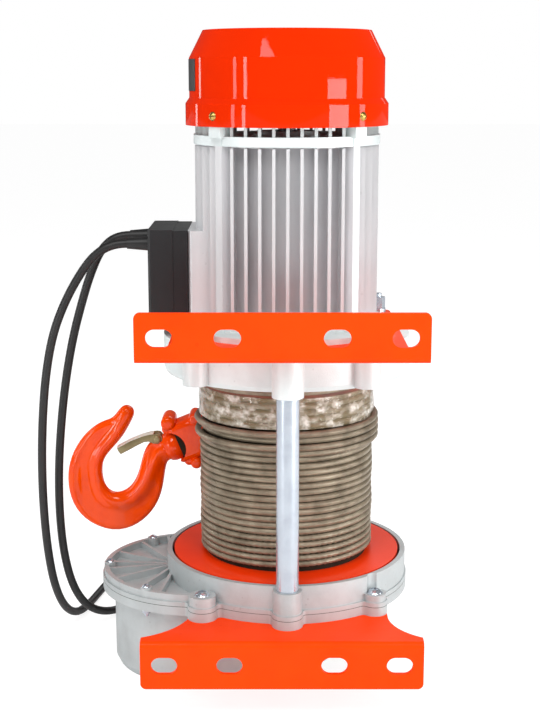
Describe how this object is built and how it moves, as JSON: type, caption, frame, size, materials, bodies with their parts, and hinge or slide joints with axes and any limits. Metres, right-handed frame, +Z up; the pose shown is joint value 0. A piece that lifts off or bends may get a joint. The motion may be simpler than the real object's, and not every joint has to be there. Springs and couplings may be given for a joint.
{
  "type": "electric hoist",
  "caption": "Electric rope hoist: finned motor over a rope drum and gear case, slotted mounting brackets, swivel hook, mains lead and pendant handset.",
  "frame": {"origin": "on the drum axis at the plane the gear case stands on", "axes": "+Z up along the drum and motor axis, -Y out of the bracket face, -X towards the terminal box and the hook"},
  "size_m": [0.3513, 0.4552, 0.5856],
  "materials": {
    "orange_bracket": "gloss paint on pressed steel",
    "orange_cover": "high gloss paint on spun steel",
    "orange_forging": "thick gloss paint on a forging",
    "cast_alloy": "cast light alloy, fine rough skin",
    "machined_alloy": "turned light alloy",
    "zinc_steel": "bright zinc plate",
    "yellow_zinc": "yellow passivated zinc plate",
    "brass_screw": "yellow zinc screw heads",
    "wire_rope": "oiled steel wire rope",
    "gear_steel": "cut and hardened gear steel",
    "bearing_steel": "ground bearing steel",
    "core_iron": "stacked core plates",
    "winding_copper": "varnished copper wire",
    "clear_film": "thin clear stretch film",
    "brown_paper": "waxed brown paper tape",
    "black_plastic": "satin moulded plastic",
    "fan_plastic": "moulded plastic",
    "cable_rubber": "black rubber sheath",
    "capacitor_shell": "moulded plastic can",
    "seal_paper": "oiled gasket paper",
    "key_green": "moulded key",
    "key_red": "moulded key"
  },
  "bodies": {
    "frame": {"lower_bracket": "orange_bracket", "upper_bracket": "orange_bracket", "gear_case": "cast_alloy", "gearbox_gasket": "seal_paper", "gearbox_housing": "cast_alloy", "motor_side_drum_housing": "cast_alloy", "motor_housing": "cast_alloy", "front_end_shield": "cast_alloy", "rear_end_shield": "cast_alloy", "fan_cover": "orange_cover", "fan_cover_screws": "brass_screw", "stator_core": "core_iron", "stator_windings": "winding_copper", "terminal_box_base": "black_plastic", "terminal_box_lid": "black_plastic", "run_capacitor": "capacitor_shell", "swivel_block": "orange_forging", "swivel_block_bolts": "orange_forging", "rope_tail": "wire_rope", "tie_rods": "zinc_steel", "tie_rod_nuts": "zinc_steel", "lug_screws": "zinc_steel", "lug_nuts": "zinc_steel", "upper_lug_bolts": "zinc_steel", "upper_lug_washers": "zinc_steel", "rim_screws": "zinc_steel", "drum_bearings": "bearing_steel", "countershaft_bearings": "bearing_steel", "motor_bearings": "bearing_steel", "cable_glands": "cable_rubber", "mains_cable": "cable_rubber", "mains_cable_coil": "cable_rubber", "mains_cable_end": "cable_rubber", "mains_plug": "black_plastic", "control_cable": "cable_rubber", "control_cable_coil": "cable_rubber", "control_cable_end": "cable_rubber", "handset_back": "black_plastic", "handset_front": "black_plastic", "handset_sleeve": "cable_rubber"},
    "drum": {"drum": "orange_cover", "drum_shaft": "gear_steel", "rope_winding": "wire_rope", "film_wrap": "clear_film", "paper_band": "brown_paper", "drum_gear": "gear_steel"},
    "countershaft": {"countershaft": "gear_steel", "countershaft_gear": "gear_steel"},
    "motor_rotor": {"motor_shaft": "gear_steel", "rotor": "core_iron", "cooling_fan": "fan_plastic"},
    "hook": {"hook": "orange_forging", "hook_nut": "gear_steel", "latch_pin": "yellow_zinc"},
    "latch": {"safety_latch": "yellow_zinc"},
    "up_key": {"up_key": "key_green"},
    "down_key": {"down_key": "key_green"},
    "stop_key": {"stop_key": "key_red"}
  },
  "joints": [
    {"name": "drum_spin", "type": "hinge", "parent": "frame", "child": "drum", "pos_m": [0, 0, 0.19], "axis": [0, 0, 1], "continuous": true},
    {"name": "countershaft_spin", "type": "hinge", "parent": "frame", "child": "countershaft", "pos_m": [-0.08479, -0.00593, 0.05], "axis": [0, 0, 1], "continuous": true},
    {"name": "motor_spin", "type": "hinge", "parent": "frame", "child": "motor_rotor", "pos_m": [0, 0, 0.4], "axis": [0, 0, 1], "continuous": true},
    {"name": "hook_swivel", "type": "hinge", "parent": "frame", "child": "hook", "pos_m": [-0.11237, 0.0883, 0.18148], "axis": [0.9272, 0, 0.3746], "continuous": true},
    {"name": "latch_hinge", "type": "hinge", "parent": "hook", "child": "latch", "pos_m": [-0.12837, 0.0883, 0.18903], "axis": [0, -1, 0], "range_deg": [0, 35], "stiffness_Nm_per_rad": 0.1, "springref_deg": -28.65},
    {"name": "up_key_press", "type": "slide", "parent": "frame", "child": "up_key", "axis": [0, 0, -1], "range_m": [0, 0.003], "stiffness_N_per_m": 400, "springref_m": -0.002},
    {"name": "down_key_press", "type": "slide", "parent": "frame", "child": "down_key", "axis": [0, 0, -1], "range_m": [0, 0.003], "stiffness_N_per_m": 400, "springref_m": -0.002},
    {"name": "stop_key_press", "type": "slide", "parent": "frame", "child": "stop_key", "axis": [0, 0, -1], "range_m": [0, 0.003], "stiffness_N_per_m": 400, "springref_m": -0.002}
  ],
  "couplings": [
    {"joint": "countershaft_spin", "follows": "drum_spin", "ratio": -5.1818},
    {"joint": "motor_spin", "follows": "drum_spin", "ratio": 31.523}
  ]
}
